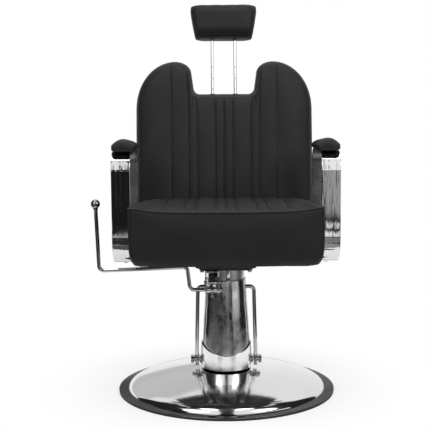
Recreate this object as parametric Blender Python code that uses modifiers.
"""Barber chair on a hydraulic pump, as an assembly of separate pieces.

Metres, +Z up. The chair faces -Y, and the origin is on the column's axis at the floor.
"""

import math

import bmesh
import bpy
from mathutils import Matrix, Vector

# Clearances: between pieces that touch, and between pieces that turn or slide
GAP = 0.0003
RUN = 0.0005

# Round base: pressed dome with a flat flange, rubber ring, steel plate inside
BASE_RADIUS = 0.310
FLANGE_WIDTH = 0.027
FLANGE_HEIGHT = 0.0095
RIM_DROP = 0.0008
SHOULDER_WIDTH = 0.0175
SHOULDER_HEIGHT = 0.0276
DOME_HEIGHT = 0.0668
DOME_CURVE = 2.07
DOME_SHEET = 0.0025
RING_WIDTH = 0.020
PLATE_LIFT = 0.0008
PLATE_THICK = 0.0097

# Pump: fixed column, ram, head, cone and sleeve
LIFT_STROKE = 0.150
RAM_ENGAGED = 0.070
COLUMN_RADIUS = 0.047
COLUMN_WALL = 0.0108
COLUMN_TOP = 0.270
COLUMN_FOOT_RADIUS = 0.075
COLUMN_FOOT_HEIGHT = 0.010
SEAL_HEIGHT = 0.006
SPIGOT_RADIUS = 0.022
SPIGOT_LENGTH = 0.056
RACE_HEIGHT = 0.005
RACE_WIDTH = 0.0115
HEAD_LOWER = 0.024
NECK_HEIGHT = 0.0335
CONE_ROOM = 0.0083
CONE_SHEET = 0.002
CONE_FLARE = 0.0107
SLEEVE_HEIGHT = 0.0785
SLEEVE_WALL = 0.0043
SLEEVE_ABOVE_DOME = 0.002
SLEEVE_V_DEPTH = 0.033
SLEEVE_V_TIP = 0.016

# Side link rods and the lugs that guide them
LINK_RADIUS = 0.0057
LINK_TOP_REACH = 0.0075
LINK_LOW_REACH = 0.012
LINK_HOOK_DROP = 0.0255
LINK_BEND = 0.012
LUG_LENGTH = 0.0293
LUG_WIDTH = 0.022
LUG_HEIGHT = 0.020
LUG_ARCH = 0.0088
LUG_ABOVE_SLEEVE_FOOT = 0.0095

# Pump lever and its bracket
LEVER_RADIUS = 0.0055
LEVER_Y = -0.070
LEVER_DROP = 0.0542
LEVER_RISE = 0.0650
LEVER_CRANK = 0.101
LEVER_REACH = 0.355
LEVER_SPLAY = 0.007
LEVER_HANDLE = 0.184
LEVER_BEND = 0.014
KNOB_RADIUS = 0.013
BRACKET_X = -0.039
BRACKET_WIDTH = 0.040
BRACKET_SHEET = 0.0045
BRACKET_DEPTH = 0.026
BRACKET_FOOT = 0.011
BRACKET_PIN_RADIUS = 0.003
BRACKET_PIN_HEAD = 0.0055
VALVE_RADIUS = 0.010
STEM_RADIUS = 0.0055
STEM_X = 0.007
STEM_HEAD = 0.0015
CAM_RADIUS = 0.0095
CAM_FINGER = 0.0155
CLIP_RADIUS = 0.0095

# Seat frame and what is bolted to it
TOP_PLATE_SIDE = 0.150
TOP_PLATE_SHEET = 0.005
TOP_PLATE_CHAMFER = 0.012
BOLT_INSET = 0.008
BOLT_SHANK = 0.004
BOLT_HEAD = 0.0065
BOLT_HEAD_HEIGHT = 0.006
RAIL_INNER = 0.050
RAIL_WIDTH = 0.035
RAIL_HEIGHT = 0.0225
RAIL_END = 0.205
RAIL_CHAMFER = 0.012
CROSS_DEPTH = 0.020
BAR_SHEET = 0.008
BAR_WIDTH = 0.030
BAR_FRONT_Y = -0.055
BAR_REAR_Y = 0.030
BOARD_SHEET = 0.015
BOARD_INSET = 0.020
BOARD_FRONT_INSET = 0.058
SEAT_ABOVE_BOARD = 0.0089

# Seat cushion
SEAT_WIDTH = 0.505
SEAT_FRONT = -0.262
SEAT_BOW = 0.018
SEAT_BACK = 0.155
SEAT_THICK = 0.146
SEAT_CORNER_RISE = 0.0085
SEAT_CROWN = 0.0045
SEAT_REAR_DROP = 0.0235
SEAT_SPREAD = 0.009
SEAT_SPREAD_END = 0.125
SEAT_TUCK = 0.014
SEAT_BULGE = 0.0015

# Sewn channels, the same on seat and back, measured from the middle
SEAM_1 = 0.027
SEAM_2 = 0.080
SEAM_3 = 0.107
SEAM_4 = 0.160
SEAM_DEPTH = 0.006

# Arms: closed loops of flat steel with a pad
ARM_GAP = 0.0005
ARM_WIDTH = 0.051
ARM_SHEET = 0.008
ARM_FRONT = -0.205
ARM_BACK = 0.105
ARM_HEIGHT = 0.308
ARM_SLOPE = 0.013
ARM_LOW_BEND = 0.080
ARM_HIGH_BEND = 0.050
ARM_REAR_BEND = 0.045
PAD_WIDTH = 0.067
PAD_OVERHANG = 0.002
PAD_TAPER = 0.30
PAD_FALL = 0.42
PAD_THICK = 0.036
PAD_PAST_FRONT = -0.004

# Recline joint, gas spring and release lever
PIVOT_Y = 0.205
PIVOT_RISE = 0.0347
LEAN = math.radians(10)
RECLINE = math.radians(38)
PIN_RADIUS = 0.006
HINGE_SHEET = 0.006
HINGE_EAR = 0.014
HINGE_STRAP = 0.028
HINGE_HEIGHT = 0.210
HINGE_FLANGE = 0.034
HINGE_FLANGE_SHEET = 0.005
RECLINE_SHEET = 0.005
RECLINE_BRACKET_LENGTH = 0.065
CROSS_TUBE_RADIUS = 0.011
CRANK = 0.047
CRANK_SHEET = 0.004
CRANK_PIN_RADIUS = 0.004
EYE_SLACK = 0.0018
EYE_WALL = 0.005
GAS_RADIUS = 0.0095
GAS_LENGTH = 0.150
GAS_ROD_RADIUS = 0.004
GAS_NOSE_RADIUS = 0.007
RELEASE_RADIUS = 0.005
RELEASE_AHEAD = 0.012
RELEASE_RISE = 0.007
RELEASE_INSET = 0.0705
GRIP_LENGTH = 0.070
GRIP_DEPTH = 0.040
GRIP_SHEET = 0.006

# Backrest, along its own slope from the recline pivot
BACK_WIDTH = 0.535
BACK_FOOT = 0.0226
BACK_SIDE_TOP = 0.3826
HUMP_TOP = 0.5256
HUMP_X = 0.148
NOTCH_FLOOR = 0.4256
NOTCH_HALF = 0.092
NOTCH_CORNER = 0.020
NOTCH_FLARE_Z = 0.4876
NOTCH_FLARE_X = 0.098
BACK_FRONT = 0.026
BACK_CROWN = 0.024
BACK_REAR = 0.035
BACK_CORNER = 0.030
BACK_TUCK = 0.010
PANEL_SHEET = 0.012
PANEL_INSET = 0.006

# Headrest
POST_SPACING = 0.069
POST_RADIUS = 0.00475
POST_DEPTH = 0.006
POST_FOOT = 0.2576
POST_GROOVE = 0.0012
POST_GROOVE_HEIGHT = 0.004
POST_PITCH = 0.0335
POST_GROOVES = 5
GUIDE_WALL = 0.0026
GUIDE_LENGTH = 0.155
GUIDE_SUNK = 0.001
HEADREST_FOOT = 0.590
HEADREST_HEIGHT = 0.102
HEADREST_TOP_WIDTH = 0.206
HEADREST_FOOT_WIDTH = 0.170
HEADREST_FRONT = 0.046
HEADREST_REAR = 0.030
CORE_WIDTH = 0.116
CORE_DEPTH = 0.016
CORE_HEIGHT = 0.025
CORE_RISE = 0.050

# Heights and radii that follow from the sizes above
RIM_Z = FLANGE_HEIGHT - RIM_DROP
FLANGE_UNDER = RIM_Z - DOME_SHEET
CREASE_R = BASE_RADIUS - FLANGE_WIDTH
SHOULDER_R = CREASE_R - SHOULDER_WIDTH
RING_OUTER = BASE_RADIUS - 0.0005
RING_INNER = RING_OUTER - RING_WIDTH
PLATE_EDGE_TOP = FLANGE_UNDER - GAP
PLATE_STEP_R = SHOULDER_R + SHOULDER_WIDTH * 0.35
PLATE_TOP = PLATE_LIFT + PLATE_THICK
BORE_RADIUS = COLUMN_RADIUS - COLUMN_WALL
RAM_RADIUS = BORE_RADIUS - RUN
RAM_FOOT = COLUMN_TOP - LIFT_STROKE - RAM_ENGAGED
RAM_SHOULDER = COLUMN_TOP + SEAL_HEIGHT + 0.007
RACE_LOW_Z = RAM_SHOULDER + GAP
RACE_HIGH_Z = RACE_LOW_Z + RACE_HEIGHT + GAP
HEAD_Z = RACE_HIGH_Z + RACE_HEIGHT + GAP
SPIGOT_TOP = RAM_SHOULDER + SPIGOT_LENGTH
CONE_TOP_R = COLUMN_RADIUS + CONE_ROOM + CONE_SHEET
CONE_LOW_R = CONE_TOP_R + CONE_FLARE
NECK_RADIUS = CONE_TOP_R - CONE_SHEET - 0.0023
CONE_TOP = HEAD_Z + HEAD_LOWER + 0.008
NECK_TOP = CONE_TOP + NECK_HEIGHT
SLEEVE_INNER = CONE_LOW_R + GAP
SLEEVE_RADIUS = SLEEVE_INNER + SLEEVE_WALL
SLEEVE_FOOT = DOME_HEIGHT + SLEEVE_ABOVE_DOME
SLEEVE_TOP = SLEEVE_FOOT + SLEEVE_HEIGHT
PLATE_Z = NECK_TOP + GAP
FRAME_Z = PLATE_Z + TOP_PLATE_SHEET + GAP
BAR_Z = FRAME_Z + RAIL_HEIGHT + GAP
BOARD_Z = BAR_Z + BAR_SHEET + GAP
SEAT_Z = BOARD_Z + SEAT_ABOVE_BOARD
SEAT_HALF = SEAT_WIDTH / 2
SEAT_EDGE_Z = SEAT_Z + SEAT_THICK
ARM_INNER = SEAT_HALF + SEAT_BULGE + ARM_GAP
ARM_OUTER = ARM_INNER + ARM_WIDTH
ARM_Z = BAR_Z + BAR_SHEET + GAP
LEVER_Z = NECK_TOP - LEVER_DROP
LEVER_TIP_REACH = LEVER_REACH + LEVER_SPLAY
BRACKET_LEFT = BRACKET_X - BRACKET_WIDTH / 2
BRACKET_RIGHT = BRACKET_X + BRACKET_WIDTH / 2
PIVOT_Z = BAR_Z + PIVOT_RISE
RAIL_FRONT = -TOP_PLATE_SIDE / 2
RAIL_OUTER = RAIL_INNER + RAIL_WIDTH
BRACKET_SIDE = RAIL_OUTER + GAP
HINGE_OUTER = BRACKET_SIDE - RUN
HINGE_INNER = HINGE_OUTER - HINGE_SHEET
GAS_Z = PIVOT_Z - CRANK * (1 + math.cos(RECLINE / 2)) / 2
EYE_Y = PIVOT_Y + CRANK * math.sin(RECLINE / 2)
GAS_STROKE = 2 * CRANK * math.sin(RECLINE / 2)
GAS_FRONT = RAIL_FRONT + CROSS_DEPTH + GAP
GAS_BACK = GAS_FRONT + GAS_LENGTH
RELEASE_Y = RAIL_FRONT - RELEASE_AHEAD
RELEASE_Z = GAS_Z + RELEASE_RISE
RELEASE_REACH = SEAT_HALF - RELEASE_INSET
BACK_HALF = BACK_WIDTH / 2
PANEL_FRONT = BACK_REAR + GAP
PANEL_BACK = PANEL_FRONT + PANEL_SHEET
HEADREST_TOP = HEADREST_FOOT + HEADREST_HEIGHT
CORE_FOOT = HEADREST_FOOT + CORE_RISE
CORE_TOP = CORE_FOOT + CORE_HEIGHT
GUIDE_RADIUS = POST_RADIUS + RUN + GUIDE_WALL
SEAMS = (0.0, SEAM_1, SEAM_2, SEAM_3, SEAM_4)

# Facets
TURN_STEPS = 40
DOME_STEPS = 48
SMALL_SIDES = 16
ARC_STEPS = 6
ROD_SIDES = 3

for old in list(bpy.data.objects):
    bpy.data.objects.remove(old, do_unlink=True)

chair = bpy.data.collections.new("barber_chair")
cutters = bpy.data.collections.new("cutters")
bpy.context.scene.collection.children.link(chair)
bpy.context.scene.collection.children.link(cutters)


def finish(name, colour, roughness, metallic):
    """A Principled material."""
    material = bpy.data.materials.new(name)
    material.use_nodes = True
    shader = material.node_tree.nodes["Principled BSDF"]
    shader.inputs["Base Color"].default_value = (*colour, 1.0)
    shader.inputs["Roughness"].default_value = roughness
    shader.inputs["Metallic"].default_value = metallic
    material.diffuse_color = (*colour, 1.0)
    return material


CHROME = finish("chrome", (0.80, 0.80, 0.81), 0.06, 1.0)
GREY_STEEL = finish("grey_steel", (0.62, 0.62, 0.63), 0.35, 1.0)
ZINC = finish("zinc_bolt", (0.66, 0.66, 0.65), 0.30, 1.0)
BLACK_STEEL = finish("black_steel", (0.02, 0.02, 0.02), 0.45, 0.0)
RUBBER = finish("black_rubber", (0.015, 0.015, 0.015), 0.80, 0.0)
LEATHERETTE = finish("black_leatherette", (0.026, 0.026, 0.027), 0.50, 0.0)
PLYWOOD = finish("plywood", (0.45, 0.32, 0.19), 0.70, 0.0)
PLASTIC = finish("black_plastic", (0.02, 0.02, 0.02), 0.40, 0.0)


def empty(name, location, lean=0.0, parent=None):
    """An axis that pieces hang on."""
    axis = bpy.data.objects.new(name, None)
    chair.objects.link(axis)
    axis.location = location
    axis.rotation_euler = (lean, 0, 0)
    axis.parent = parent
    return axis


def smooth(mesh, angle=40):
    """Round faces shaded smooth, edges over the angle kept sharp."""
    mesh.shade_smooth()
    mesh.set_sharp_from_angle(angle=math.radians(angle))


def place(obj, material=None, axis=None, cutter=False):
    """Put an object in its collection, with its material, on its axis."""
    (cutters if cutter else chair).objects.link(obj)
    obj.parent = axis
    if axis and not axis.get("local"):
        obj.matrix_parent_inverse = Matrix.Translation(-axis.location)
    if cutter:
        obj.hide_render = True
        obj.display_type = "WIRE"
    else:
        obj.data.materials.append(material)
    return obj


def mesh_object(name, bm):
    """A new mesh object from a bmesh, with its normals outwards."""
    bmesh.ops.recalc_face_normals(bm, faces=bm.faces)
    mesh = bpy.data.meshes.new(name)
    bm.to_mesh(mesh)
    bm.free()
    smooth(mesh)
    return bpy.data.objects.new(name, mesh)


def box(name, low, high):
    """A box between two corners."""
    bm = bmesh.new()
    bmesh.ops.create_cube(bm, size=1.0)
    low, high = Vector(low), Vector(high)
    bmesh.ops.scale(bm, vec=high - low, verts=bm.verts)
    obj = mesh_object(name, bm)
    obj.location = (low + high) / 2
    return obj


def cylinder(name, start, end, radius, sides=SMALL_SIDES, end_radius=None):
    """A cylinder or cone between two points."""
    start, end = Vector(start), Vector(end)
    bm = bmesh.new()
    bmesh.ops.create_cone(
        bm,
        cap_ends=True,
        segments=sides,
        radius1=radius,
        radius2=radius if end_radius is None else end_radius,
        depth=(end - start).length,
    )
    obj = mesh_object(name, bm)
    obj.location = (start + end) / 2
    obj.rotation_mode = "QUATERNION"
    obj.rotation_quaternion = (end - start).to_track_quat("Z", "Y")
    return obj


def ball(name, centre, radius, segments=20, rings=12):
    """A sphere."""
    bm = bmesh.new()
    bmesh.ops.create_uvsphere(bm, u_segments=segments, v_segments=rings, radius=radius)
    obj = mesh_object(name, bm)
    obj.location = centre
    return obj


def turned(name, profile, steps=TURN_STEPS, ring=False):
    """A turned shape from (radius, height) points, top to bottom on its outer side."""
    mesh = bpy.data.meshes.new(name)
    points = [(radius, 0, height) for radius, height in profile]
    edges = [(i, i + 1) for i in range(len(points) - 1)]
    if ring:
        edges.append((len(points) - 1, 0))
    edges = [(a, b) for a, b in edges if profile[a][0] > 0 or profile[b][0] > 0]
    mesh.from_pydata(points, edges, [])
    obj = bpy.data.objects.new(name, mesh)
    screw = obj.modifiers.new("turn", "SCREW")
    screw.steps = steps
    screw.render_steps = steps
    screw.use_merge_vertices = True
    screw.merge_threshold = 0.00005
    screw.use_smooth_shade = True
    return obj


def ring_profile(inner, outer, low, high):
    """The profile of a plain ring."""
    return [(outer, high), (outer, low), (inner, low), (inner, high)]


def arc(centre, radius, start, end, steps=ARC_STEPS):
    """Points on an arc; radius may be a pair for an ellipse. Angles in degrees."""
    across, up = radius if isinstance(radius, tuple) else (radius, radius)
    points = []
    for i in range(steps + 1):
        turn = math.radians(start + (end - start) * i / steps)
        points.append((centre[0] + across * math.cos(turn), centre[1] + up * math.sin(turn)))
    return points


def rounded(corners, steps=ARC_STEPS):
    """A closed path or an open one's corners rounded: (point, radius) pairs, as 2D or 3D points."""
    path = []
    count = len(corners)
    for i, (corner, radius) in enumerate(corners):
        corner = Vector(corner)
        if radius <= 0:
            path.append(corner)
            continue
        before = (Vector(corners[i - 1][0]) - corner).normalized()
        after = (Vector(corners[(i + 1) % count][0]) - corner).normalized()
        half = before.angle(after) / 2
        reach = radius / math.tan(half)
        middle = corner + (before + after).normalized() * radius / math.sin(half)
        first = corner + before * reach - middle
        last = corner + after * reach - middle
        for step in range(steps + 1):
            path.append(middle + first.slerp(last, step / steps).normalized() * radius)
    return path


def plate(name, outlines, low, high, facing="Z"):
    """A flat plate: closed outlines, the first one outside, between two heights along its facing axis."""
    curve = bpy.data.curves.new(name, "CURVE")
    curve.dimensions = "2D"
    curve.fill_mode = "BOTH"
    curve.extrude = (high - low) / 2
    for outline in outlines:
        spline = curve.splines.new("POLY")
        spline.points.add(len(outline) - 1)
        for point, spot in zip(spline.points, outline):
            point.co = (spot[0], spot[1], 0, 1)
        spline.use_cyclic_u = True
    obj = bpy.data.objects.new(name, curve)
    middle = (low + high) / 2
    if facing == "Z":
        obj.location = (0, 0, middle)
    elif facing == "X":
        obj.rotation_euler = (math.pi / 2, 0, math.pi / 2)
        obj.location = (middle, 0, 0)
    else:
        obj.rotation_euler = (math.pi / 2, 0, 0)
        obj.location = (0, middle, 0)
    return solid(obj)


def solid(curve_object):
    """A curve object made a mesh, with its caps welded."""
    bpy.context.scene.collection.objects.link(curve_object)
    bpy.context.view_layer.update()
    graph = bpy.context.evaluated_depsgraph_get()
    mesh = bpy.data.meshes.new_from_object(curve_object.evaluated_get(graph))
    bm = bmesh.new()
    bm.from_mesh(mesh)
    bmesh.ops.remove_doubles(bm, verts=bm.verts, dist=1e-6)
    bmesh.ops.recalc_face_normals(bm, faces=bm.faces)
    bm.to_mesh(mesh)
    bm.free()
    smooth(mesh)
    name = curve_object.name
    matrix = curve_object.matrix_world.copy()
    bpy.data.objects.remove(curve_object, do_unlink=True)
    obj = bpy.data.objects.new(name, mesh)
    obj.matrix_world = matrix
    return obj


def rod(name, corners, radius, sides=ROD_SIDES):
    """A round rod bent along rounded corners."""
    curve = bpy.data.curves.new(name, "CURVE")
    curve.dimensions = "3D"
    curve.bevel_depth = radius
    curve.bevel_resolution = sides
    curve.use_fill_caps = True
    path = rounded(corners)
    spline = curve.splines.new("POLY")
    spline.points.add(len(path) - 1)
    for point, spot in zip(spline.points, path):
        point.co = (*spot, 1)
    return solid(bpy.data.objects.new(name, curve))


def combine(obj, other, operation="DIFFERENCE", axis=None):
    """Cut a helper out of an object, or join it on with UNION."""
    place(other, axis=axis, cutter=True)
    modifier = obj.modifiers.new(other.name, "BOOLEAN")
    modifier.operation = operation
    modifier.object = other
    return obj


def sliced_block(name, xs, ys, zs, shape):
    """A soft form: a block sliced at the given places, each point then moved by the shape function."""
    bm = bmesh.new()
    bmesh.ops.create_cube(bm, size=1.0)
    low = Vector((xs[0], ys[0], zs[0]))
    high = Vector((xs[-1], ys[-1], zs[-1]))
    for vert in bm.verts:
        vert.co = [a + (b - a) * (c + 0.5) for a, b, c in zip(low, high, vert.co)]
    for axis, cuts in enumerate((xs, ys, zs)):
        normal = Vector([float(axis == i) for i in range(3)])
        for cut in cuts[1:-1]:
            faces = bm.verts[:] + bm.edges[:] + bm.faces[:]
            bmesh.ops.bisect_plane(bm, geom=faces, plane_co=normal * cut, plane_no=normal)
    for vert in bm.verts:
        vert.co = shape(*vert.co)
    bmesh.ops.triangulate(bm, faces=bm.faces)
    return mesh_object(name, bm)


def both_sides(half):
    """Places from the middle out, mirrored to the other side."""
    return sorted({-place_x for place_x in half} | set(half))


def channel(x):
    """How far a sewn channel swells at x: 0 on a seam, 1 between seams and on the outer panels."""
    side = abs(x)
    for near, far in zip(SEAMS, SEAMS[1:]):
        if near <= side <= far:
            return math.sin(math.pi * (side - near) / (far - near)) ** 0.6
    return min(1.0, ((side - SEAM_4) / SEAM_1) ** 0.6)


def mid_seams():
    """The seams and the middles of the channels between them."""
    places = list(SEAMS)
    for near, far in zip(SEAMS, SEAMS[1:]):
        places.append((near + far) / 2)
    return places


def dome_height(radius):
    """The height of the dome's gentle top at a radius."""
    return DOME_HEIGHT - (DOME_HEIGHT - SHOULDER_HEIGHT) * (radius / SHOULDER_R) ** DOME_CURVE


def shoulder(start, corner, end, steps):
    """Points on the curve from start to end that leaves and arrives towards the corner."""
    points = []
    for i in range(steps + 1):
        share = i / steps
        near, mid, far = (1 - share) ** 2, 2 * share * (1 - share), share**2
        points.append(tuple(near * a + mid * b + far * c for a, b, c in zip(start, corner, end)))
    return points


def make_base():
    """Dome, rubber ring, steel plate, fixed column and its seal."""
    hole = COLUMN_RADIUS + 2 * GAP
    tops = [hole + (SHOULDER_R - hole) * i / 4 for i in range(4)]
    upper = [(radius, dome_height(radius)) for radius in tops]
    corner_r = CREASE_R - SHOULDER_WIDTH * 0.21
    corner_z = FLANGE_HEIGHT + (SHOULDER_HEIGHT - FLANGE_HEIGHT) * 0.77
    top_start, crease = (SHOULDER_R, SHOULDER_HEIGHT), (CREASE_R, FLANGE_HEIGHT)
    upper += shoulder(top_start, (corner_r, corner_z), crease, 6)
    upper += [(BASE_RADIUS - 0.001, RIM_Z), (BASE_RADIUS, RIM_Z - 0.001)]
    lower = [(BASE_RADIUS, FLANGE_UNDER), (CREASE_R - DOME_SHEET, FLANGE_UNDER)]
    low_end = (CREASE_R - DOME_SHEET, FLANGE_HEIGHT)
    low_corner = (corner_r - DOME_SHEET, corner_z - DOME_SHEET)
    low_start = (SHOULDER_R, SHOULDER_HEIGHT - DOME_SHEET)
    lower += shoulder(low_end, low_corner, low_start, 4)
    lower += [(radius, dome_height(radius) - DOME_SHEET) for radius in reversed(tops)]
    place(turned("base_dome", upper + lower, DOME_STEPS, ring=True), CHROME)
    ring = ring_profile(RING_INNER, RING_OUTER, 0, FLANGE_UNDER - GAP)
    place(turned("base_rubber_ring", ring, DOME_STEPS, ring=True), RUBBER)
    edge = RING_INNER - GAP
    disc = [
        (0, PLATE_TOP),
        (PLATE_STEP_R, PLATE_TOP),
        (PLATE_STEP_R, PLATE_EDGE_TOP),
        (edge, PLATE_EDGE_TOP),
        (edge, PLATE_LIFT),
        (0, PLATE_LIFT),
    ]
    place(turned("base_plate", disc, DOME_STEPS), BLACK_STEEL)
    foot = PLATE_TOP + GAP
    floor = RAM_FOOT - 0.012
    column = [
        (BORE_RADIUS, COLUMN_TOP),
        (COLUMN_RADIUS, COLUMN_TOP),
        (COLUMN_RADIUS, foot + COLUMN_FOOT_HEIGHT),
        (COLUMN_FOOT_RADIUS, foot + COLUMN_FOOT_HEIGHT),
        (COLUMN_FOOT_RADIUS, foot),
        (0, foot),
        (0, floor),
        (BORE_RADIUS, floor),
    ]
    place(turned("pump_column", column, ring=True), CHROME)
    seal = ring_profile(
        RAM_RADIUS + GAP, COLUMN_RADIUS, COLUMN_TOP + GAP, COLUMN_TOP + GAP + SEAL_HEIGHT
    )
    place(turned("ram_seal", seal, ring=True), RUBBER)


def make_ram(axis):
    """The ram that lifts the chair, with the lower race of the swivel."""
    profile = [
        (0, SPIGOT_TOP),
        (SPIGOT_RADIUS, SPIGOT_TOP),
        (SPIGOT_RADIUS, RAM_SHOULDER),
        (RAM_RADIUS, RAM_SHOULDER),
        (RAM_RADIUS, RAM_FOOT),
        (0, RAM_FOOT),
    ]
    place(turned("lift_ram", profile), CHROME, axis)
    inner = SPIGOT_RADIUS + RUN
    race = ring_profile(inner, inner + RACE_WIDTH, RACE_LOW_Z, RACE_LOW_Z + RACE_HEIGHT)
    place(turned("thrust_race_lower", race, ring=True), GREY_STEEL, axis)


def make_pump(axis):
    """What swivels round the ram: upper race, head, cone, sleeve and lugs."""
    inner = SPIGOT_RADIUS + RUN
    race = ring_profile(inner, inner + RACE_WIDTH, RACE_HIGH_Z, RACE_HIGH_Z + RACE_HEIGHT)
    place(turned("thrust_race_upper", race, ring=True), GREY_STEEL, axis)
    step = HEAD_Z + HEAD_LOWER
    waist = NECK_RADIUS - 0.009
    lip = CONE_TOP_R - NECK_RADIUS
    head = [
        (inner, NECK_TOP),
        (NECK_RADIUS, NECK_TOP),
        (NECK_RADIUS, step),
        (waist, step),
        (waist, HEAD_Z),
        (inner, HEAD_Z),
    ]
    place(turned("pump_head", head, ring=True), GREY_STEEL, axis)
    cone_foot = SLEEVE_FOOT + 0.006
    cone = [
        (NECK_RADIUS + GAP, CONE_TOP),
        (CONE_TOP_R - lip / 4, CONE_TOP),
        (CONE_TOP_R, CONE_TOP - lip / 3),
        (CONE_LOW_R, SLEEVE_TOP),
        (CONE_LOW_R, cone_foot),
        (CONE_LOW_R - CONE_SHEET, cone_foot),
        (CONE_LOW_R - CONE_SHEET, SLEEVE_TOP),
        (CONE_TOP_R - CONE_SHEET, CONE_TOP - CONE_SHEET),
        (NECK_RADIUS + GAP, CONE_TOP - CONE_SHEET),
    ]
    shell = place(turned("pump_cone", cone, ring=True), CHROME, axis)
    hook = CONE_TOP - LINK_HOOK_DROP
    slot_half = LINK_RADIUS + 0.0008
    slot_reach = 0.012
    slot_low = (-CONE_LOW_R, -slot_half, hook - slot_reach)
    slot_high = (CONE_LOW_R, slot_half, hook + slot_reach)
    combine(shell, box("link_slots", slot_low, slot_high), axis=axis)
    sleeve_ring = ring_profile(SLEEVE_INNER, SLEEVE_RADIUS, SLEEVE_FOOT, SLEEVE_TOP)
    sleeve = place(turned("pump_sleeve", sleeve_ring, DOME_STEPS, ring=True), CHROME, axis)
    wide = SLEEVE_RADIUS + 0.004
    rise = SLEEVE_V_DEPTH * wide / SLEEVE_RADIUS
    tip = SLEEVE_TOP - SLEEVE_V_DEPTH
    above = SLEEVE_TOP + SLEEVE_V_DEPTH
    corners = [
        ((-wide, tip + rise), 0),
        ((0, tip), SLEEVE_V_TIP),
        ((wide, tip + rise), 0),
        ((wide, above), 0),
        ((-wide, above), 0),
    ]
    combine(sleeve, plate("sleeve_v", [rounded(corners)], -wide, wide, "Y"), axis=axis)
    for side, name in ((-1, "left"), (1, "right")):
        make_lug(axis, side, name)


def make_lug(axis, side, name):
    """The lug on the sleeve that guides a link rod."""
    low_z = SLEEVE_FOOT + LUG_ABOVE_SLEEVE_FOOT
    near = side * (SLEEVE_RADIUS - 0.010)
    far = side * (SLEEVE_RADIUS + LUG_LENGTH)
    low = (min(near, far), -LUG_WIDTH / 2, low_z)
    high = (max(near, far), LUG_WIDTH / 2, low_z + LUG_HEIGHT)
    lug = place(box(f"sleeve_lug_{name}", low, high), CHROME, axis)
    seat_top = (0, 0, low_z + 2 * LUG_HEIGHT)
    seat = cylinder(f"lug_seat_{name}", (0, 0, low_z - LUG_HEIGHT), seat_top, SLEEVE_RADIUS + GAP, DOME_STEPS)
    combine(lug, seat, axis=axis)
    rod_x = side * (SLEEVE_RADIUS + LINK_LOW_REACH)
    arch = cylinder(
        f"lug_arch_{name}", (rod_x, -LUG_WIDTH, low_z), (rod_x, LUG_WIDTH, low_z), LUG_ARCH
    )
    combine(lug, arch, axis=axis)
    hole_radius = LINK_RADIUS + GAP
    hole = cylinder(
        f"lug_hole_{name}", (rod_x, 0, low_z - LUG_HEIGHT), (rod_x, 0, low_z + 2 * LUG_HEIGHT), hole_radius
    )
    combine(lug, hole, axis=axis)


def make_link_rods(axis):
    """Two rods beside the column, hooked into the cone at their tops."""
    hook = CONE_TOP - LINK_HOOK_DROP
    foot = SLEEVE_FOOT + LUG_ABOVE_SLEEVE_FOOT - 0.008
    straight = SLEEVE_FOOT + LUG_ABOVE_SLEEVE_FOOT + LUG_HEIGHT + 0.020
    for side, name in ((-1, "left"), (1, "right")):
        inside = side * (NECK_RADIUS - 0.009 + 0.006)
        top_x = side * (SLEEVE_RADIUS + LINK_TOP_REACH)
        low_x = side * (SLEEVE_RADIUS + LINK_LOW_REACH)
        corners = [
            ((inside, 0, hook), 0),
            ((top_x, 0, hook), LINK_BEND),
            ((low_x, 0, straight), LINK_BEND),
            ((low_x, 0, foot), 0),
        ]
        place(rod(f"link_rod_{name}", corners, LINK_RADIUS), CHROME, axis)


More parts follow.
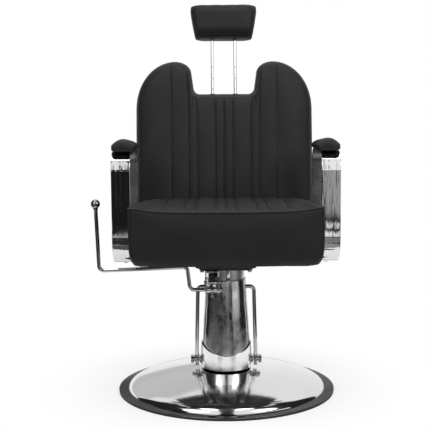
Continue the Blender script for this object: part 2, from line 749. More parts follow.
def make_bracket(axis):
    """The bracket under the plate that carries the lever, with its pin and the valve."""
    front = LEVER_Y - BRACKET_FOOT - 0.002
    upper_back = -math.sqrt(NECK_RADIUS**2 - BRACKET_RIGHT**2) - GAP
    lower_back = LEVER_Y + BRACKET_FOOT
    top = NECK_TOP
    corners = [
        ((front, top), 0),
        ((front, LEVER_Z - BRACKET_FOOT), BRACKET_FOOT * 0.8),
        ((lower_back, LEVER_Z - BRACKET_FOOT), BRACKET_FOOT * 0.8),
        ((lower_back, CONE_TOP + 0.0015), 0),
        ((upper_back, CONE_TOP + 0.0015), 0),
        ((upper_back, top), 0),
    ]
    outline = rounded(corners, 4)
    web_low = (BRACKET_LEFT, front + 0.0001, top - BRACKET_SHEET)
    web_high = (BRACKET_RIGHT, upper_back - 0.0001, top - 0.0001)
    left = plate("lever_bracket", [outline], BRACKET_LEFT, BRACKET_LEFT + BRACKET_SHEET, "X")
    place(left, CHROME, axis)
    right = plate("bracket_cheek", [outline], BRACKET_RIGHT - BRACKET_SHEET, BRACKET_RIGHT, "X")
    inset = 0.0002
    web = box(
        "bracket_web",
        (web_low[0] + inset, web_low[1], web_low[2]),
        (web_high[0] - inset, web_high[1], web_high[2]),
    )
    combine(left, web, "UNION", axis)
    combine(left, right, "UNION", axis)
    far_left = BRACKET_LEFT - BRACKET_WIDTH
    far_right = BRACKET_RIGHT + BRACKET_WIDTH
    shaft_hole = cylinder(
        "shaft_hole", (far_left, LEVER_Y, LEVER_Z), (far_right, LEVER_Y, LEVER_Z), LEVER_RADIUS + RUN
    )
    combine(left, shaft_hole, axis=axis)
    pin_y = LEVER_Y - 0.006
    pin_z = LEVER_Z + CAM_FINGER + BRACKET_PIN_RADIUS + 0.003
    pin_hole = cylinder(
        "pin_hole", (far_left, pin_y, pin_z), (far_right, pin_y, pin_z), BRACKET_PIN_RADIUS + GAP
    )
    combine(left, pin_hole, axis=axis)
    make_bracket_pin(axis, pin_y, pin_z)
    valve_z = pin_z + BRACKET_PIN_RADIUS + VALVE_RADIUS + 0.0015
    valve_back = -math.sqrt(NECK_RADIUS**2 - BRACKET_X**2)
    valve_front = front + 0.002
    valve = cylinder("valve_cap", (BRACKET_X, valve_front, valve_z), (BRACKET_X, valve_back, valve_z), VALVE_RADIUS)
    bevel = valve.modifiers.new("round", "BEVEL")
    bevel.width = 0.002
    bevel.segments = 2
    bevel.limit_method = "ANGLE"
    place(valve, RUBBER, axis)
    seat_low, seat_high = (0, 0, valve_z - 2 * VALVE_RADIUS), (0, 0, valve_z + 2 * VALVE_RADIUS)
    seat = cylinder("valve_seat", seat_low, seat_high, NECK_RADIUS + GAP, TURN_STEPS)
    combine(valve, seat, axis=axis)
    make_valve_stem(axis)


def make_valve_stem(axis):
    """The upright valve stem in front of the neck, with a wider foot."""
    foot_radius = STEM_RADIUS + STEM_HEAD
    low = CONE_TOP + GAP
    profile = [
        (0, NECK_TOP),
        (STEM_RADIUS, NECK_TOP),
        (STEM_RADIUS, low + 0.006),
        (foot_radius, low + 0.005),
        (foot_radius, low + 0.001),
        (foot_radius - 0.001, low),
        (0, low),
    ]
    stem = turned("valve_stem", profile, 20)
    stem.location = (STEM_X, -math.sqrt((NECK_RADIUS + foot_radius + GAP) ** 2 - STEM_X**2), 0)
    place(stem, CHROME, axis)


def make_bracket_pin(axis, pin_y, pin_z):
    """The cross pin with a head on each side of the bracket."""
    head = 0.003
    left, right = BRACKET_LEFT - GAP, BRACKET_RIGHT + GAP
    pin = cylinder(
        "bracket_pin", (left - head, pin_y, pin_z), (right + head, pin_y, pin_z), BRACKET_PIN_RADIUS, 12
    )
    place(pin, CHROME, axis)
    for side, x, out in (("left", left, -head), ("right", right, head)):
        knob = cylinder(
            f"pin_head_{side}", (x, pin_y, pin_z), (x + out * 0.98, pin_y, pin_z), BRACKET_PIN_HEAD, 12
        )
        combine(pin, knob, "UNION", axis)


def make_lever(axis):
    """The bent pump lever, its ball, the hub on its shaft and the end clip."""
    high = LEVER_Z + LEVER_RISE
    shaft_end = BRACKET_RIGHT + 0.0065
    tip_z = high - 0.009 + LEVER_HANDLE
    corners = [
        ((shaft_end, LEVER_Y, LEVER_Z), 0),
        ((-LEVER_CRANK, LEVER_Y, LEVER_Z), LEVER_BEND),
        ((-LEVER_CRANK - 0.0075, LEVER_Y, high), LEVER_BEND),
        ((-LEVER_REACH, LEVER_Y, high - 0.009), LEVER_BEND),
        ((-LEVER_TIP_REACH, LEVER_Y, tip_z), 0),
    ]
    place(rod("pump_lever", corners, LEVER_RADIUS, 4), CHROME, axis)
    knob_z = tip_z + KNOB_RADIUS * 0.35
    knob = place(ball("lever_knob", (-LEVER_TIP_REACH, LEVER_Y, knob_z), KNOB_RADIUS), CHROME, axis)
    low = (-LEVER_REACH, LEVER_Y, high - 0.009)
    along = (Vector((-LEVER_TIP_REACH, LEVER_Y, tip_z)) - Vector(low)).normalized()
    tip = Vector((-LEVER_TIP_REACH, LEVER_Y, tip_z))
    socket = cylinder("knob_socket", tip - along * 2 * KNOB_RADIUS, tip + along * GAP, LEVER_RADIUS + GAP)
    combine(knob, socket, axis=axis)
    make_cam(axis)
    clip_x = BRACKET_RIGHT + RUN
    clip = turned("lever_clip", ring_profile(LEVER_RADIUS + GAP, CLIP_RADIUS, 0, 0.003), 20, ring=True)
    clip.rotation_euler = (0, math.pi / 2, 0)
    clip.location = (clip_x, LEVER_Y, LEVER_Z)
    place(clip, ZINC, axis)


def make_cam(axis):
    """The hub on the lever's shaft: a finger that works the valve and a screw hanging under it."""
    left = BRACKET_LEFT + BRACKET_SHEET + RUN
    right = BRACKET_RIGHT - BRACKET_SHEET - RUN
    middle = (left + right) / 2
    cam = cylinder("lever_cam", (left, LEVER_Y, LEVER_Z), (right, LEVER_Y, LEVER_Z), CAM_RADIUS, 20)
    place(cam, ZINC, axis)
    half = 0.004
    finger_low = (left + half, LEVER_Y - half, LEVER_Z)
    finger_high = (right - half, LEVER_Y + half, LEVER_Z + CAM_FINGER - 0.0006)
    combine(cam, box("cam_finger", finger_low, finger_high), "UNION", axis)
    screw_low = LEVER_Z - CAM_RADIUS - 0.011
    screw = cylinder("cam_screw", (middle, LEVER_Y, LEVER_Z - half), (middle, LEVER_Y, screw_low), 0.0022, 12)
    combine(cam, screw, "UNION", axis)
    head_high = (middle, LEVER_Y, screw_low + 0.0035)
    head = cylinder("cam_screw_head", (middle, LEVER_Y, screw_low - 0.001), head_high, 0.0042, 12)
    combine(cam, head, "UNION", axis)
    hole = cylinder(
        "cam_hole", (left - 0.01, LEVER_Y, LEVER_Z), (right + 0.01, LEVER_Y, LEVER_Z), LEVER_RADIUS + GAP
    )
    combine(cam, hole, axis=axis)


def bolt(name, x, y, top, head_top, axis):
    """A hex bolt put in from below: its shank reaches top, its head hangs under head_top."""
    head = cylinder(name, (x, y, head_top - BOLT_HEAD_HEIGHT), (x, y, head_top), BOLT_HEAD, 6)
    place(head, ZINC, axis)
    shank = cylinder(f"{name}_shank", (x, y, head_top - 0.001), (x, y, top), BOLT_SHANK, 12)
    combine(head, shank, "UNION", axis)


def bolt_hole(obj, name, x, y, low, high, axis):
    """A hole for such a bolt."""
    hole = cylinder(f"{name}_hole", (x, y, low - 0.01), (x, y, high + 0.01), BOLT_SHANK + GAP, 12)
    combine(obj, hole, axis=axis)


def make_seat_frame(axis):
    """Plate on the pump head, welded frame, cross bars, board and all their bolts."""
    half = TOP_PLATE_SIDE / 2
    cut = half - TOP_PLATE_CHAMFER
    outline = [(half, -cut), (half, cut), (cut, half), (-cut, half), (-half, cut), (-half, -cut)]
    outline += [(-cut, -half), (cut, -half)]
    top = place(plate("pump_top_plate", [outline], PLATE_Z, PLATE_Z + TOP_PLATE_SHEET), BLACK_STEEL, axis)
    spot = half - BOLT_INSET
    count = 0
    for x in (-spot, spot):
        for y in (-spot * 0.88, spot * 0.88):
            count += 1
            name = f"top_plate_bolt_{count}"
            bolt_hole(top, name, x, y, PLATE_Z, PLATE_Z + TOP_PLATE_SHEET, axis)
            bolt(name, x, y, PLATE_Z + TOP_PLATE_SHEET - GAP, PLATE_Z - GAP, axis)
    outline = [
        (-RAIL_OUTER, RAIL_FRONT + RAIL_CHAMFER),
        (-RAIL_OUTER + RAIL_CHAMFER, RAIL_FRONT),
        (RAIL_OUTER - RAIL_CHAMFER, RAIL_FRONT),
        (RAIL_OUTER, RAIL_FRONT + RAIL_CHAMFER),
        (RAIL_OUTER, RAIL_END),
        (RAIL_INNER, RAIL_END),
        (RAIL_INNER, RAIL_FRONT + CROSS_DEPTH),
        (-RAIL_INNER, RAIL_FRONT + CROSS_DEPTH),
        (-RAIL_INNER, RAIL_END),
        (-RAIL_OUTER, RAIL_END),
    ]
    frame = place(plate("seat_frame", [outline], FRAME_Z, FRAME_Z + RAIL_HEIGHT), BLACK_STEEL, axis)
    for x in (RAIL_INNER * 0.3, RAIL_INNER + RAIL_WIDTH * 0.4):
        low = (x, RELEASE_Y - RELEASE_RADIUS - 0.004, RELEASE_Z - RELEASE_RADIUS - 0.004)
        high = (x + 0.008, RAIL_FRONT + 0.004, RELEASE_Z + RELEASE_RADIUS + 0.003)
        combine(frame, box("release_lug", low, high), "UNION", axis)
    shaft = cylinder(
        "release_hole", (0, RELEASE_Y, RELEASE_Z), (RAIL_OUTER + 0.02, RELEASE_Y, RELEASE_Z), RELEASE_RADIUS + GAP
    )
    combine(frame, shaft, axis=axis)
    nose = cylinder(
        "nose_hole", (0, RAIL_FRONT - 0.01, GAS_Z), (0, GAS_FRONT + 0.01, GAS_Z), GAS_NOSE_RADIUS + GAP
    )
    combine(frame, nose, axis=axis)
    count = 0
    bolt_x = (ARM_INNER + ARM_OUTER) / 2
    for y, name in ((BAR_FRONT_Y, "front"), (BAR_REAR_Y, "rear")):
        low = (-ARM_OUTER + 0.004, y - BAR_WIDTH / 2, BAR_Z)
        high = (ARM_OUTER - 0.004, y + BAR_WIDTH / 2, BAR_Z + BAR_SHEET)
        bar = place(box(f"arm_bar_{name}", low, high), BLACK_STEEL, axis)
        for x in (-bolt_x, bolt_x):
            count += 1
            bolt_name = f"arm_bolt_{count}"
            bolt_hole(bar, bolt_name, x, y, BAR_Z, BAR_Z + BAR_SHEET, axis)
            bolt(bolt_name, x, y, BAR_Z + BAR_SHEET - GAP, BAR_Z - GAP, axis)
    low = (-SEAT_HALF + BOARD_INSET, SEAT_FRONT + BOARD_FRONT_INSET, BOARD_Z)
    high = (SEAT_HALF - BOARD_INSET, SEAT_BACK - BOARD_INSET, BOARD_Z + BOARD_SHEET)
    place(box("seat_board", low, high), PLYWOOD, axis)


def seat_shape(x, along, up):
    """A point of the seat cushion: along runs 0 to 1 from front to back, up from bottom to top."""
    side = abs(x) / SEAT_HALF
    front = SEAT_FRONT - SEAT_BOW * (1 - side**2)
    edge = SEAT_EDGE_Z + SEAT_CORNER_RISE * side**5 * (1 - along) ** 1.5
    edge -= SEAT_REAR_DROP * along**2 * (1 + 0.4 * side**2)
    rise = SEAT_CROWN * (1 - side**4) * math.sqrt(max(0.0, 1 - (2 * along - 1) ** 4))
    dip = SEAM_DEPTH * (1 - channel(x)) * min(1.0, 12 * along)
    top = edge + rise - dip
    draw = SEAT_TUCK * (1 - up) ** 5 - SEAT_BULGE * 4 * up * (1 - up)
    y = front + along * (SEAT_BACK - front)
    y += draw * (1 - 2 * along)
    draw -= SEAT_SPREAD * max(0.0, 1 - along / SEAT_SPREAD_END) ** 0.7
    return (x * (1 - draw / SEAT_HALF), y, SEAT_Z + up * (top - SEAT_Z))


def make_seat_cushion(axis):
    """Seat cushion with channels, a bowed front and a pocket for its board."""
    outer = [SEAT_HALF * share for share in (0.72, 0.80, 0.90, 0.96, 1.0)]
    xs = both_sides(mid_seams() + outer)
    ys = [0, 0.03, 0.08, SEAT_SPREAD_END, 0.25, 0.45, 0.65, 0.85, 0.97, 1]
    zs = [0, 0.05, 0.15, 0.5, 0.9, 1]
    cushion = place(sliced_block("seat_cushion", xs, ys, zs, seat_shape), LEATHERETTE, axis)
    low = (-SEAT_HALF + BOARD_INSET - GAP, SEAT_FRONT + BOARD_FRONT_INSET - GAP, SEAT_Z - 0.02)
    high = (SEAT_HALF - BOARD_INSET + GAP, SEAT_BACK - BOARD_INSET + GAP, BOARD_Z + BOARD_SHEET + GAP)
    combine(cushion, box("board_pocket", low, high), axis=axis)


def arm_top(y):
    """The height of the arm loop's sloping top at y."""
    return ARM_Z + ARM_HEIGHT - ARM_SLOPE * (y - ARM_FRONT) / (ARM_BACK - ARM_FRONT)


def arm_outline(inset):
    """The rounded outline of the arm loop in (y, z), moved in by the inset."""
    front, back = ARM_FRONT + inset, ARM_BACK - inset
    corners = [
        ((front, ARM_Z + inset), ARM_LOW_BEND - inset),
        ((back, ARM_Z + inset), ARM_REAR_BEND - inset),
        ((back, arm_top(back) - inset), ARM_REAR_BEND - inset),
        ((front, arm_top(front) - inset), ARM_HIGH_BEND - inset),
    ]
    return rounded(corners, 8)


def make_arms(axis):
    """Two loops of flat steel with a pad on each."""
    for side, name in ((-1, "left"), (1, "right")):
        low, high = sorted((side * ARM_INNER, side * ARM_OUTER))
        loop = plate(f"arm_band_{name}", [arm_outline(0), arm_outline(ARM_SHEET)], low, high, "X")
        place(loop, CHROME, axis)
        outer = ARM_OUTER + PAD_OVERHANG
        middle = side * (outer - PAD_WIDTH / 2)

        def pad_shape(across, along, up, middle=middle):
            """A point of the pad: across -1 to 1, along 0 to 1 from the front, up 0 to 1."""
            end = math.sqrt(max(0.0, 1 - abs(2 * along - 1) ** 8))
            half = PAD_WIDTH / 2 * (1 - PAD_TAPER * along) * (0.62 + 0.38 * end)
            y = ARM_FRONT - PAD_PAST_FRONT + along * (ARM_BACK - ARM_FRONT)
            crown = (0.45 + 0.55 * end) * (1 - 0.52 * across**2) * (1 - PAD_FALL * along)
            belly = 0.68 + 0.32 * math.sqrt(1 - (2 * min(up, 0.5) - 1) ** 2)
            return (middle + across * half * belly, y, arm_top(y) + GAP + up * PAD_THICK * crown)

        across = (-1, -0.85, -0.5, 0, 0.5, 0.85, 1)
        along = (0, 0.03, 0.1, 0.25, 0.5, 0.75, 0.9, 0.97, 1)
        pad = sliced_block(f"arm_pad_{name}", across, along, (0, 0.15, 0.45, 0.8, 1), pad_shape)
        place(pad, LEATHERETTE, axis)


def make_recline(axis):
    """Brackets on the frame, the recline pin and the gas spring's cylinder."""
    ear = HINGE_EAR
    low_z = FRAME_Z + 0.003
    front = PIVOT_Y - RECLINE_BRACKET_LENGTH
    corners = [
        ((front, low_z), 0),
        ((PIVOT_Y + ear, low_z), 0),
        ((PIVOT_Y + ear, PIVOT_Z + ear), ear * 0.95),
        ((PIVOT_Y - ear, PIVOT_Z + ear), ear * 0.95),
        ((front, FRAME_Z + RAIL_HEIGHT - 0.003), 0),
    ]
    for side, name in ((-1, "left"), (1, "right")):
        low, high = sorted((side * BRACKET_SIDE, side * (BRACKET_SIDE + RECLINE_SHEET)))
        bracket = plate(f"recline_bracket_{name}", [rounded(corners)], low, high, "X")
        place(bracket, BLACK_STEEL, axis)
        near, far = low - 0.01, high + 0.01
        hole = cylinder(
            f"bracket_hole_{name}", (near, PIVOT_Y, PIVOT_Z), (far, PIVOT_Y, PIVOT_Z), PIN_RADIUS + GAP
        )
        combine(bracket, hole, axis=axis)
    reach = BRACKET_SIDE + RECLINE_SHEET + GAP
    head = 0.004
    pin = cylinder(
        "recline_pin", (-reach - head, PIVOT_Y, PIVOT_Z), (reach + head, PIVOT_Y, PIVOT_Z), PIN_RADIUS
    )
    place(pin, ZINC, axis)
    for side in (-1, 1):
        start = (side * reach, PIVOT_Y, PIVOT_Z)
        end = (side * (reach + head * 0.98), PIVOT_Y, PIVOT_Z)
        knob = cylinder(f"recline_pin_head_{side}", start, end, PIN_RADIUS + 0.004)
        combine(pin, knob, "UNION", axis)
    bore = GAS_ROD_RADIUS + GAP
    bore_foot = GAS_FRONT + 0.008
    profile = [
        (bore, GAS_BACK),
        (GAS_RADIUS, GAS_BACK),
        (GAS_RADIUS, GAS_FRONT),
        (GAS_NOSE_RADIUS, GAS_FRONT),
        (GAS_NOSE_RADIUS, RAIL_FRONT),
        (0, RAIL_FRONT),
        (0, bore_foot),
        (bore, bore_foot),
    ]
    body = turned("gas_spring_cylinder", profile, 24, ring=True)
    body.rotation_euler = (-math.pi / 2, 0, 0)
    body.location = (0, 0, GAS_Z)
    place(body, BLACK_STEEL, axis)


def make_gas_rod(axis):
    """The gas spring's rod, with an eye round the crank's pin."""
    eye = CRANK_PIN_RADIUS + EYE_SLACK
    start = GAS_FRONT + 0.008 + GAS_STROKE + 0.006
    rod_end = EYE_Y - eye - EYE_WALL / 2
    shaft = cylinder("gas_spring_rod", (0, start, GAS_Z), (0, rod_end, GAS_Z), GAS_ROD_RADIUS)
    place(shaft, CHROME, axis)
    half = CRANK_SHEET + 0.0008
    outer = cylinder("rod_eye", (-half, EYE_Y, GAS_Z), (half, EYE_Y, GAS_Z), eye + EYE_WALL, 20)
    combine(shaft, outer, "UNION", axis)
    inner = cylinder("rod_eye_hole", (-4 * half, EYE_Y, GAS_Z), (4 * half, EYE_Y, GAS_Z), eye, 20)
    combine(shaft, inner, axis=axis)


def make_release(axis):
    """The lever under the seat's right side that unlocks the gas spring."""
    end = RELEASE_REACH
    finger = 0.005
    shaft = cylinder(
        "recline_lever", (-finger, RELEASE_Y, RELEASE_Z), (end, RELEASE_Y, RELEASE_Z), RELEASE_RADIUS
    )
    place(shaft, ZINC, axis)
    low = (-finger + 0.0002, RELEASE_Y, RELEASE_Z - 0.004)
    high = (finger, RAIL_FRONT - 0.001, RELEASE_Z + 0.002)
    combine(shaft, box("release_finger", low, high), "UNION", axis)
    corners = [
        ((end - GRIP_LENGTH * 0.25, RELEASE_Y + 0.010), 0.006),
        ((end - GRIP_LENGTH * 0.25, RELEASE_Y - GRIP_DEPTH), 0.012),
        ((end + GRIP_LENGTH * 0.75, RELEASE_Y - GRIP_DEPTH), 0.012),
        ((end + GRIP_LENGTH * 0.75, RELEASE_Y + 0.010), 0.006),
    ]
    grip = plate("recline_grip", [rounded(corners, 4)], RELEASE_Z - GRIP_SHEET / 2, RELEASE_Z + GRIP_SHEET / 2)
    place(grip, PLASTIC, axis)
    boss_low = (end - GRIP_LENGTH * 0.2, RELEASE_Y, RELEASE_Z)
    boss_high = (end + 0.010, RELEASE_Y, RELEASE_Z)
    boss = cylinder("grip_boss", boss_low, boss_high, RELEASE_RADIUS + 0.003)
    combine(grip, boss, "UNION", axis)
    socket_low = (end - GRIP_LENGTH, RELEASE_Y, RELEASE_Z)
    socket_high = (end + GAP, RELEASE_Y, RELEASE_Z)
    socket = cylinder("grip_socket", socket_low, socket_high, RELEASE_RADIUS + GAP)
    combine(grip, socket, axis=axis)


def back_top(x):
    """The height of the backrest's top outline at x: notch, humps and shoulders."""
    side = abs(x)
    flat = NOTCH_HALF - NOTCH_CORNER
    if side <= flat:
        return NOTCH_FLOOR
    if side <= NOTCH_HALF:
        return NOTCH_FLOOR + NOTCH_CORNER - math.sqrt(max(0.0, NOTCH_CORNER**2 - (side - flat) ** 2))
    if side <= NOTCH_FLARE_X:
        share = (side - NOTCH_HALF) / (NOTCH_FLARE_X - NOTCH_HALF)
        return NOTCH_FLOOR + NOTCH_CORNER + share * (NOTCH_FLARE_Z - NOTCH_FLOOR - NOTCH_CORNER)
    if side <= HUMP_X:
        share = (HUMP_X - side) / (HUMP_X - NOTCH_FLARE_X)
        return NOTCH_FLARE_Z + (HUMP_TOP - NOTCH_FLARE_Z) * math.sqrt(max(0.0, 1 - share**2))
    share = min(1.0, (side - HUMP_X) / (BACK_HALF - HUMP_X))
    return BACK_SIDE_TOP + (HUMP_TOP - BACK_SIDE_TOP) * math.sqrt(max(0.0, 1 - share**2))


def back_foot(x):
    """The height of the backrest's bottom outline at x, with rounded corners."""
    over = max(0.0, abs(x) - (BACK_HALF - BACK_CORNER))
    return BACK_FOOT + BACK_CORNER - math.sqrt(max(0.0, BACK_CORNER**2 - over**2))


def back_shape(x, up, out):
    """A point of the back cushion: up runs 0 to 1 from foot to top, out from its rear to its front."""
    foot, top = back_foot(x), back_top(x)
    side = abs(x) / BACK_HALF
    crown = BACK_CROWN * (1 - side**6) * math.sqrt(max(0.0, 1 - (2 * up - 1) ** 6))
    dip = SEAM_DEPTH * (1 - channel(x)) * min(1.0, 12 * up, 12 * (1 - up))
    front = -BACK_FRONT - crown + dip
    draw = BACK_TUCK * out**6
    y = BACK_REAR + out * (front - BACK_REAR)
    z = foot + up * (top - foot) + draw * (1 - 2 * up)
    return (x * (1 - draw / BACK_HALF), y, z)


def back_columns():
    """Places across the backrest that its outline needs."""
    flat = NOTCH_HALF - NOTCH_CORNER
    half = mid_seams()
    half += [flat + NOTCH_CORNER * math.sin(math.radians(turn)) for turn in (0, 30, 55, 75, 90)]
    half += [HUMP_X - (HUMP_X - NOTCH_FLARE_X) * math.cos(math.radians(turn)) for turn in (0, 25, 50, 90)]
    half += [HUMP_X + (BACK_HALF - HUMP_X) * math.sin(math.radians(turn)) for turn in (22, 40, 55, 70, 81, 90)]
    return half


def make_backrest(axis):
    """Back cushion, rear panel, hinge arms and the cross tube with its crank."""
    outs = [0, 0.45, 0.8, 0.95, 1]
    ups = [0, 0.04, 0.12, 0.3, 0.5, 0.7, 0.88, 0.96, 1]

    def shape(x, out, up):
        """The block's axes in the cushion's own order."""
        return back_shape(x, up, out)

    cushion = sliced_block("back_cushion", both_sides(back_columns()), outs, ups, shape)
    place(cushion, LEATHERETTE, axis)
    for side, name in ((-1, "left"), (1, "right")):
        x = side * POST_SPACING / 2
        depth = -POST_DEPTH
        low = (x, depth, POST_FOOT - POST_PITCH * 2)
        high = (x, depth, HUMP_TOP)
        combine(cushion, cylinder(f"post_hole_{name}", low, high, GUIDE_RADIUS + GAP), axis=axis)
    share = 1 - PANEL_INSET / BACK_HALF
    half = sorted(set(back_columns()))
    top = [(x * share, back_top(x) - PANEL_INSET) for x in both_sides(half)]
    foot = [(x * share, back_foot(x) + PANEL_INSET) for x in both_sides([BACK_HALF - BACK_CORNER, BACK_HALF])]
    foot += arc((BACK_HALF * share - BACK_CORNER, BACK_FOOT + PANEL_INSET + BACK_CORNER), BACK_CORNER, -60, -30, 1)
    right_foot = [spot for spot in foot if spot[0] > 0 and spot[1] < top[-1][1]]
    outline = top + sorted(right_foot, key=lambda spot: -spot[1])
    outline += [(-x, z) for x, z in sorted(right_foot, key=lambda spot: spot[1])]
    panel = plate("back_panel", [outline], PANEL_FRONT, PANEL_BACK, "Y")
    place(panel, LEATHERETTE, axis)
    make_hinges(axis)


def make_hinges(axis):
    """Hinge arms behind the panel and the cross tube that works the gas spring."""
    behind = PANEL_BACK + GAP
    ear = HINGE_EAR
    under = BACK_FOOT - 0.0025
    corners = [
        ((-ear, -ear), ear * 0.7),
        ((behind + HINGE_STRAP - 0.010, -ear), 0.008),
        ((behind + HINGE_STRAP, 0.020), 0.012),
        ((behind + HINGE_STRAP, HINGE_HEIGHT), 0.010),
        ((behind, HINGE_HEIGHT), 0),
        ((behind, under), 0),
        ((-ear, under), ear * 0.7),
    ]
    for side, name in ((-1, "left"), (1, "right")):
        low, high = sorted((side * HINGE_INNER, side * HINGE_OUTER))
        arm = plate(f"back_hinge_{name}", [rounded(corners, 4)], low, high, "X")
        place(arm, BLACK_STEEL, axis)
        near, far = sorted((side * (HINGE_INNER + HINGE_SHEET / 2), side * (HINGE_OUTER + HINGE_FLANGE)))
        flange_low = (near, behind + 0.0001, HINGE_HEIGHT * 0.25)
        flange_high = (far, behind + HINGE_FLANGE_SHEET, HINGE_HEIGHT - 0.008)
        combine(arm, box(f"hinge_flange_{name}", flange_low, flange_high), "UNION", axis)
        hole = cylinder(f"hinge_hole_{name}", (low - 0.01, 0, 0), (high + 0.01, 0, 0), PIN_RADIUS + RUN)
        combine(arm, hole, axis=axis)
    reach = HINGE_INNER - GAP
    tube = cylinder("back_cross_tube", (-reach, 0, 0), (reach, 0, 0), CROSS_TUBE_RADIUS, 20)
    place(tube, BLACK_STEEL, axis)
    turn = RECLINE / 2 + LEAN
    along = Vector((math.sin(turn), -math.cos(turn)))
    across = Vector((-along.y, along.x))
    wide, narrow = CROSS_TUBE_RADIUS * 0.9, CRANK_PIN_RADIUS + 0.004
    end = along * (CRANK + narrow)
    ends = [(-across * wide, 0), (across * wide, 0)]
    ends += [(end + across * narrow, narrow * 0.8), (end - across * narrow, narrow * 0.8)]
    inner = CRANK_SHEET + 0.0008 + RUN
    for side in (-1, 1):
        low, high = sorted((side * inner, side * (inner + CRANK_SHEET)))
        combine(tube, plate(f"crank_{side}", [rounded(ends, 4)], low, high, "X"), "UNION", axis)
    spot = along * CRANK
    pin_reach = inner + CRANK_SHEET + 0.002
    pin = cylinder("crank_pin", (-pin_reach, *spot), (pin_reach, *spot), CRANK_PIN_RADIUS)
    combine(tube, pin, "UNION", axis)
    bore = cylinder("cross_tube_bore", (-2 * reach, 0, 0), (2 * reach, 0, 0), PIN_RADIUS + RUN)
    combine(tube, bore, axis=axis)


def make_guides(axis):
    """Guides in the backrest that the headrest's posts slide in."""
    for side, name in ((-1, "left"), (1, "right")):
        bore = POST_RADIUS + RUN
        top = NOTCH_FLOOR - GUIDE_SUNK
        profile = [
            (bore, top),
            (GUIDE_RADIUS, top),
            (GUIDE_RADIUS, top - GUIDE_LENGTH),
            (bore, top - GUIDE_LENGTH),
        ]
        guide = turned(f"headrest_guide_{name}", profile, 20, ring=True)
        guide.location = (side * POST_SPACING / 2, -POST_DEPTH, 0)
        place(guide, PLASTIC, axis)


def post_profile():
    """A post with grooves that the guide's detent drops into."""
    first = NOTCH_FLOOR + 0.0795
    profile = [(0, CORE_TOP), (POST_RADIUS, CORE_TOP)]
    for i in range(POST_GROOVES):
        middle = first - i * POST_PITCH
        high, low = middle + POST_GROOVE_HEIGHT / 2, middle - POST_GROOVE_HEIGHT / 2
        waist = POST_RADIUS - POST_GROOVE
        profile += [(POST_RADIUS, high), (waist, high - POST_GROOVE), (waist, low + POST_GROOVE)]
        profile.append((POST_RADIUS, low))
    profile += [(POST_RADIUS, POST_FOOT + 0.002), (POST_RADIUS - 0.002, POST_FOOT), (0, POST_FOOT)]
    return profile


def headrest_shape(across, out, up):
    """A point of the headrest pad: across -1 to 1, out 0 to 1 from rear to front, up 0 to 1."""
    half = (HEADREST_FOOT_WIDTH + (HEADREST_TOP_WIDTH - HEADREST_FOOT_WIDTH) * up**0.8) / 2
    end = math.sqrt(max(0.0, 1 - abs(2 * up - 1) ** 6))
    side = math.sqrt(max(0.0, 1 - abs(across) ** 6))
    full = (0.62 + 0.38 * end) * (0.75 + 0.25 * side)
    belly = 1 - 0.10 * (2 * out - 1) ** 4
    depth = HEADREST_REAR - (HEADREST_REAR + HEADREST_FRONT) * out
    corner = 0.004 * abs(across) ** 10 * (2 * up - 1)
    z = HEADREST_FOOT + up * HEADREST_HEIGHT - corner
    return (across * half * belly, depth * full - POST_DEPTH, z)


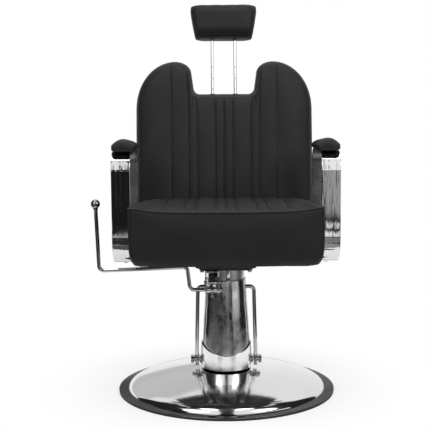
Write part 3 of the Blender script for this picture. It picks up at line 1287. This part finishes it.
def make_headrest(axis):
    """Posts, the core that joins them and the pad."""
    for side, name in ((-1, "left"), (1, "right")):
        post = turned(f"headrest_post_{name}", post_profile(), 12)
        post.location = (side * POST_SPACING / 2, -POST_DEPTH, 0)
        place(post, CHROME, axis)
    low = (-CORE_WIDTH / 2, -POST_DEPTH - CORE_DEPTH / 2, CORE_FOOT)
    high = (CORE_WIDTH / 2, -POST_DEPTH + CORE_DEPTH / 2, CORE_TOP)
    core = place(box("headrest_core", low, high), PLASTIC, axis)
    for side, name in ((-1, "left"), (1, "right")):
        x = side * POST_SPACING / 2
        start = (x, -POST_DEPTH, CORE_FOOT - 0.01)
        end = (x, -POST_DEPTH, CORE_TOP + 0.01)
        combine(core, cylinder(f"core_hole_{name}", start, end, POST_RADIUS + GAP), axis=axis)
    across = (-1, -0.94, -0.8, -0.4, 0, 0.4, 0.8, 0.94, 1)
    pad = sliced_block(
        "headrest_pad", across, (0, 0.15, 0.5, 0.85, 1), (0, 0.06, 0.2, 0.5, 0.8, 0.94, 1), headrest_shape
    )
    place(pad, LEATHERETTE, axis)
    pocket_low = (low[0] - GAP, low[1] - GAP, HEADREST_FOOT - 0.02)
    pocket_high = (high[0] + GAP, high[1] + GAP, CORE_TOP + GAP)
    combine(pad, box("core_pocket", pocket_low, pocket_high), axis=axis)


def main():
    """Build the chair, each moving group on its own axis."""
    lift_axis = empty("lift_axis", (0, 0, 0))
    swivel_axis = empty("swivel_axis", (0, 0, HEAD_Z))
    lever_axis = empty("lever_axis", (0, LEVER_Y, LEVER_Z))
    link_axis = empty("link_axis", (0, 0, SLEEVE_FOOT))
    gas_axis = empty("gas_axis", (0, EYE_Y, GAS_Z))
    release_axis = empty("release_axis", (0, RELEASE_Y, RELEASE_Z))
    recline_axis = empty("recline_axis", (0, PIVOT_Y, PIVOT_Z), -LEAN)
    recline_axis["local"] = True
    headrest_axis = empty("headrest_axis", (0, 0, 0), parent=recline_axis)
    headrest_axis["local"] = True
    make_base()
    make_ram(lift_axis)
    make_pump(swivel_axis)
    make_bracket(swivel_axis)
    make_seat_frame(swivel_axis)
    make_seat_cushion(swivel_axis)
    make_arms(swivel_axis)
    make_recline(swivel_axis)
    make_lever(lever_axis)
    make_link_rods(link_axis)
    make_gas_rod(gas_axis)
    make_release(release_axis)
    make_backrest(recline_axis)
    make_guides(recline_axis)
    make_headrest(headrest_axis)
    print(f"lever axis y {LEVER_Y:.4f} z {LEVER_Z:.4f}")
    print(f"recline axis y {PIVOT_Y:.4f} z {PIVOT_Z:.4f}")
    print(f"release axis y {RELEASE_Y:.4f} z {RELEASE_Z:.4f}")
    print(f"gas rod per radian of recline {GAS_STROKE / RECLINE:.5f}")


if __name__ == "__main__":
    main()
